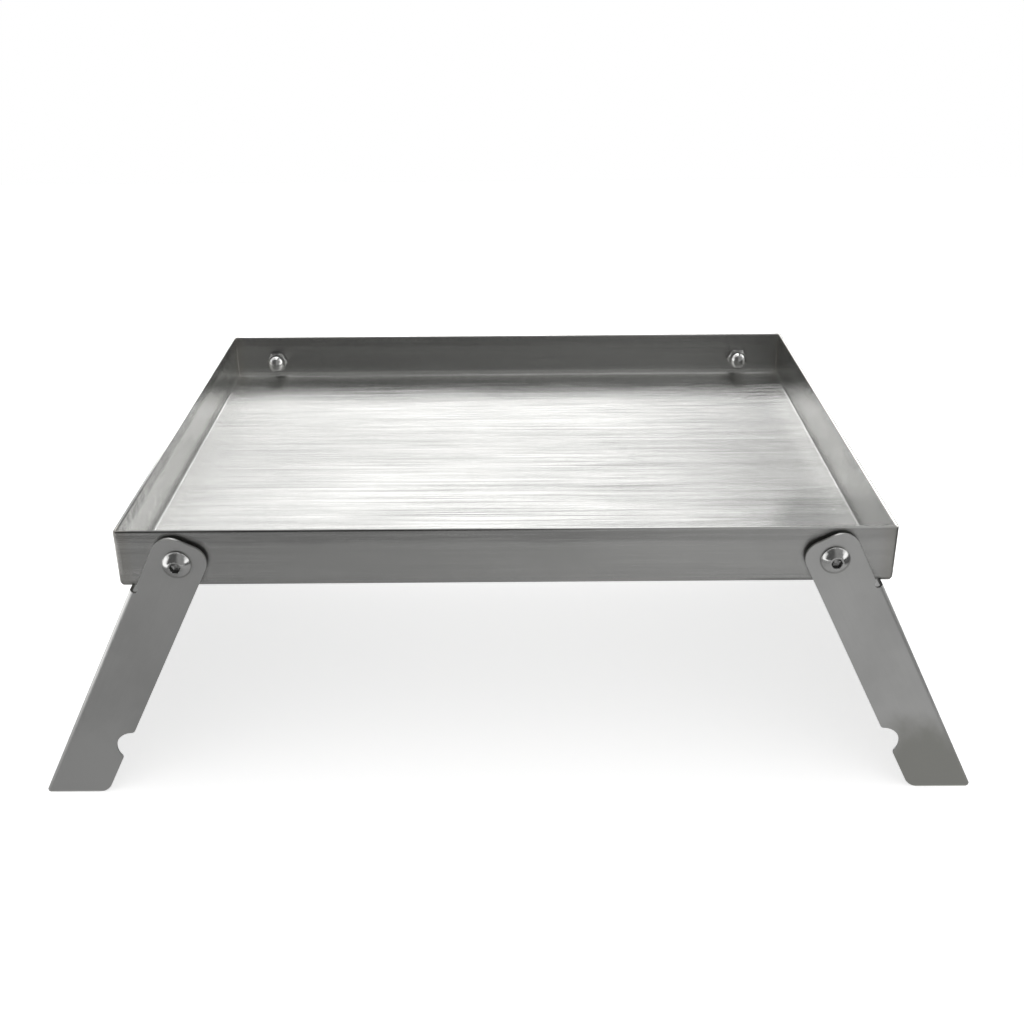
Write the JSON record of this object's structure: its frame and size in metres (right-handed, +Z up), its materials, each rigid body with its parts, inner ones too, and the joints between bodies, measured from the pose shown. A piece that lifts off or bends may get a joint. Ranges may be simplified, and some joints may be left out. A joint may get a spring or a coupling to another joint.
{
  "type": "folding stove stand",
  "caption": "Shallow rectangular steel tray on two U-shaped sheet legs that fold flat beneath it, for standing a small camp stove on.",
  "frame": {"origin": "on the surface that the feet stand on, below the tray's centre, with the legs open", "axes": "+Z up, +X from the left leg to the right leg, and the front at -Y"},
  "size_m": [0.3218, 0.2108, 0.1],
  "materials": {
    "sheet": "stainless sheet, brushed along its length, with ground edges",
    "fastener": "bright stainless fasteners"
  },
  "bodies": {
    "stand_top": {"tray": "sheet", "front_left_pivot_screw": "fastener", "front_left_spacer_washer": "fastener", "front_left_cap_nut": "fastener", "front_right_pivot_screw": "fastener", "front_right_spacer_washer": "fastener", "front_right_cap_nut": "fastener", "back_left_pivot_screw": "fastener", "back_left_spacer_washer": "fastener", "back_left_cap_nut": "fastener", "back_right_pivot_screw": "fastener", "back_right_spacer_washer": "fastener", "back_right_cap_nut": "fastener"},
    "left_leg": {"left_leg": "sheet"},
    "right_leg": {"right_leg": "sheet"}
  },
  "joints": [
    {"name": "left_leg_fold", "type": "hinge", "parent": "stand_top", "child": "left_leg", "pos_m": [-0.105, 0, 0.0894], "axis": [0, -1, 0], "range_deg": [0, 116.4]},
    {"name": "right_leg_fold", "type": "hinge", "parent": "stand_top", "child": "right_leg", "pos_m": [0.105, 0, 0.0894], "axis": [0, 1, 0], "range_deg": [0, 116.4]}
  ]
}
